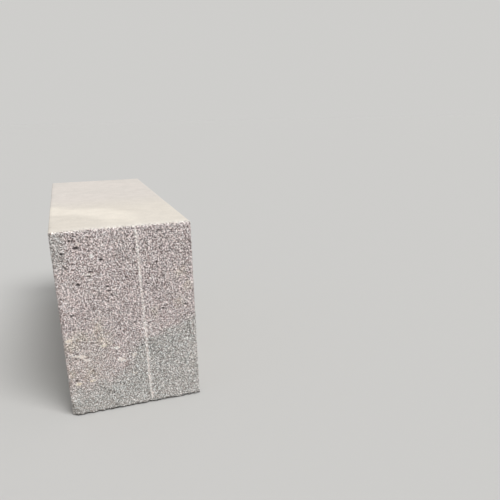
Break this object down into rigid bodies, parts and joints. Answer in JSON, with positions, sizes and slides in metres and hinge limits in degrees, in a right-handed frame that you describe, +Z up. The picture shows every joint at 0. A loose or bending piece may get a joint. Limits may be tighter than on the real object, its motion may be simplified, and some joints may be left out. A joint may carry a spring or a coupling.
{
  "type": "cellular concrete block",
  "caption": "Solid rectangular block of light cellular concrete for masonry walls, with flat faces, worn arrises and an open-pored end.",
  "frame": {"origin": "middle of the bed face, which is the underside", "axes": "+X along the block's length, with the rough near end of the picture at -X, +Y across its thickness, +Z up"},
  "size_m": [0.588, 0.2, 0.288],
  "materials": {
    "cellular_concrete": "matt"
  },
  "bodies": {
    "root": {"block": "cellular_concrete"}
  },
  "joints": []
}
